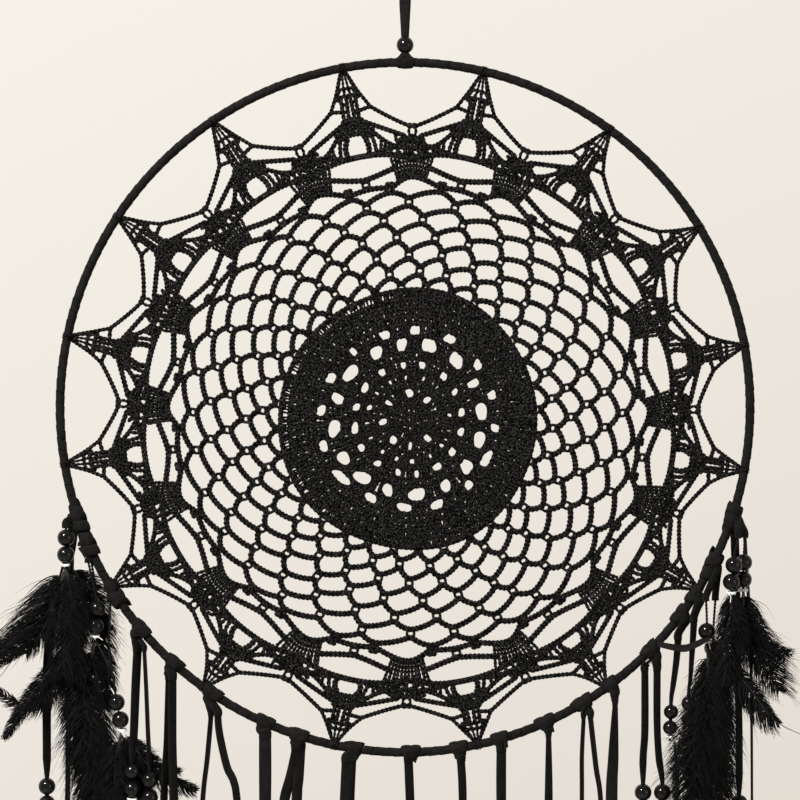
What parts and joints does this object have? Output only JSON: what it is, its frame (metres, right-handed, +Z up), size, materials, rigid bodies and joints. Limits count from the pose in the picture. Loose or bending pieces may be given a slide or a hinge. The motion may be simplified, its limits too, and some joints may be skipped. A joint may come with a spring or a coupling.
{
  "type": "dream catcher",
  "caption": "Wall hanging: a ribbon-wound hoop holding a crocheted star web, hung by a ribbon loop, with a ribbon fringe and beaded feather drops.",
  "frame": {"origin": "the point inside the crown of the hanging loop where a nail or hook bears", "axes": "+Z up, the hoop and its web lie in the XZ plane, the front faces -Y"},
  "size_m": [0.4677, 0.037, 1.011],
  "materials": {
    "ribbon": "matt woven ribbon with a faint sheen along its faces",
    "crochet_cotton": "matt twisted cotton",
    "core_steel": "plain steel wire, hidden under the winding",
    "bead": "high gloss black",
    "binding_thread": "thin off-white thread",
    "feather": "soft black barbs with a slight sheen"
  },
  "bodies": {
    "loop": {"hanging_loop": "ribbon"},
    "bead": {"top_bead": "bead"},
    "knot": {"loop_knot": "ribbon"},
    "hoop": {"hoop_core": "core_steel", "hoop_winding": "ribbon", "crochet_medallion": "crochet_cotton", "crochet_net": "crochet_cotton", "crochet_border": "crochet_cotton", "web_ties": "crochet_cotton", "ribbon_knots": "ribbon", "drop_straps": "ribbon"},
    "ribbon_01": {"ribbon_01": "ribbon", "ribbon_01_beads": "bead", "ribbon_01_bindings": "binding_thread", "ribbon_01_feathers": "feather"},
    "ribbon_02": {"ribbon_02": "ribbon"},
    "ribbon_03": {"ribbon_03": "ribbon"},
    "ribbon_04": {"ribbon_04": "ribbon"},
    "ribbon_05": {"ribbon_05": "ribbon"},
    "ribbon_06": {"ribbon_06": "ribbon"},
    "ribbon_07": {"ribbon_07": "ribbon"},
    "ribbon_08": {"ribbon_08": "ribbon"},
    "ribbon_09": {"ribbon_09": "ribbon"},
    "ribbon_10": {"ribbon_10": "ribbon"},
    "ribbon_11": {"ribbon_11": "ribbon"},
    "ribbon_12": {"ribbon_12": "ribbon"},
    "ribbon_13": {"ribbon_13": "ribbon", "ribbon_13_beads": "bead", "ribbon_13_bindings": "binding_thread", "ribbon_13_feathers": "feather"},
    "ribbon_14": {"ribbon_14": "ribbon", "ribbon_14_beads": "bead", "ribbon_14_bindings": "binding_thread", "ribbon_14_feathers": "feather"},
    "ribbon_15": {"ribbon_15": "ribbon", "ribbon_15_beads": "bead", "ribbon_15_bindings": "binding_thread", "ribbon_15_feathers": "feather"},
    "left_outer_drop": {"left_outer_strings": "ribbon", "left_outer_beads": "bead", "left_outer_bindings": "binding_thread", "left_outer_feathers": "feather", "left_long_ribbons": "ribbon"},
    "left_inner_drop": {"left_inner_strings": "ribbon", "left_inner_beads": "bead", "left_inner_bindings": "binding_thread", "left_inner_feathers": "feather"},
    "left_lower_drop": {"left_lower_strings": "ribbon", "left_lower_beads": "bead", "left_lower_bindings": "binding_thread", "left_lower_feathers": "feather"},
    "right_inner_drop": {"right_inner_strings": "ribbon", "right_inner_beads": "bead", "right_inner_bindings": "binding_thread", "right_inner_feathers": "feather"},
    "right_outer_drop": {"right_outer_strings": "ribbon", "right_outer_beads": "bead", "right_outer_bindings": "binding_thread", "right_outer_feathers": "feather", "right_long_ribbons": "ribbon"}
  },
  "joints": [
    {"name": "bead_slide", "type": "slide", "parent": "loop", "child": "bead", "axis": [0, 0, 1], "range_m": [0, 0.032]},
    {"name": "loop_twist", "type": "hinge", "parent": "loop", "child": "knot", "pos_m": [0, 0, -0.088], "axis": [0, 0, 1], "range_deg": [-90, 90]},
    {"name": "hoop_tilt", "type": "hinge", "parent": "knot", "child": "hoop", "pos_m": [0, 0, -0.0925], "axis": [1, 0, 0], "range_deg": [-35, 35]},
    {"name": "ribbon_01_swing", "type": "hinge", "parent": "hoop", "child": "ribbon_01", "pos_m": [-0.151, -0.0033, -0.4287], "axis": [1, 0, 0], "range_deg": [-30, 30]},
    {"name": "ribbon_02_swing", "type": "hinge", "parent": "hoop", "child": "ribbon_02", "pos_m": [-0.134, -0.0033, -0.4447], "axis": [1, 0, 0], "range_deg": [-30, 30]},
    {"name": "ribbon_03_swing", "type": "hinge", "parent": "hoop", "child": "ribbon_03", "pos_m": [-0.109, -0.0033, -0.4657], "axis": [1, 0, 0], "range_deg": [-30, 30]},
    {"name": "ribbon_04_swing", "type": "hinge", "parent": "hoop", "child": "ribbon_04", "pos_m": [-0.08, -0.0033, -0.4777], "axis": [1, 0, 0], "range_deg": [-30, 30]},
    {"name": "ribbon_05_swing", "type": "hinge", "parent": "hoop", "child": "ribbon_05", "pos_m": [-0.061, -0.0033, -0.4847], "axis": [1, 0, 0], "range_deg": [-30, 30]},
    {"name": "ribbon_06_swing", "type": "hinge", "parent": "hoop", "child": "ribbon_06", "pos_m": [-0.032, -0.0033, -0.4917], "axis": [1, 0, 0], "range_deg": [-30, 30]},
    {"name": "ribbon_07_swing", "type": "hinge", "parent": "hoop", "child": "ribbon_07", "pos_m": [0.002, -0.0033, -0.4917], "axis": [1, 0, 0], "range_deg": [-30, 30]},
    {"name": "ribbon_08_swing", "type": "hinge", "parent": "hoop", "child": "ribbon_08", "pos_m": [0.032, -0.0033, -0.4917], "axis": [1, 0, 0], "range_deg": [-30, 30]},
    {"name": "ribbon_09_swing", "type": "hinge", "parent": "hoop", "child": "ribbon_09", "pos_m": [0.055, -0.0033, -0.4857], "axis": [1, 0, 0], "range_deg": [-30, 30]},
    {"name": "ribbon_10_swing", "type": "hinge", "parent": "hoop", "child": "ribbon_10", "pos_m": [0.082, -0.0033, -0.4777], "axis": [1, 0, 0], "range_deg": [-30, 30]},
    {"name": "ribbon_11_swing", "type": "hinge", "parent": "hoop", "child": "ribbon_11", "pos_m": [0.104, -0.0033, -0.4667], "axis": [1, 0, 0], "range_deg": [-30, 30]},
    {"name": "ribbon_12_swing", "type": "hinge", "parent": "hoop", "child": "ribbon_12", "pos_m": [0.12, -0.0033, -0.4597], "axis": [1, 0, 0], "range_deg": [-30, 30]},
    {"name": "ribbon_13_swing", "type": "hinge", "parent": "hoop", "child": "ribbon_13", "pos_m": [0.1405, -0.0033, -0.4397], "axis": [1, 0, 0], "range_deg": [-30, 30]},
    {"name": "ribbon_14_swing", "type": "hinge", "parent": "hoop", "child": "ribbon_14", "pos_m": [0.156, -0.0033, -0.4217], "axis": [1, 0, 0], "range_deg": [-30, 30]},
    {"name": "ribbon_15_swing", "type": "hinge", "parent": "hoop", "child": "ribbon_15", "pos_m": [0.165, -0.0033, -0.4117], "axis": [1, 0, 0], "range_deg": [-30, 30]},
    {"name": "left_outer_swing", "type": "hinge", "parent": "hoop", "child": "left_outer_drop", "pos_m": [-0.1935, -0.0033, -0.3577], "axis": [1, 0, 0], "range_deg": [-30, 30]},
    {"name": "left_inner_swing", "type": "hinge", "parent": "hoop", "child": "left_inner_drop", "pos_m": [-0.181, -0.0033, -0.3777], "axis": [1, 0, 0], "range_deg": [-30, 30]},
    {"name": "left_lower_swing", "type": "hinge", "parent": "hoop", "child": "left_lower_drop", "pos_m": [-0.1685, -0.0033, -0.3997], "axis": [1, 0, 0], "range_deg": [-30, 30]},
    {"name": "right_inner_swing", "type": "hinge", "parent": "hoop", "child": "right_inner_drop", "pos_m": [0.176, -0.0033, -0.3997], "axis": [1, 0, 0], "range_deg": [-30, 30]},
    {"name": "right_outer_swing", "type": "hinge", "parent": "hoop", "child": "right_outer_drop", "pos_m": [0.192, -0.0033, -0.3637], "axis": [1, 0, 0], "range_deg": [-30, 30]}
  ]
}
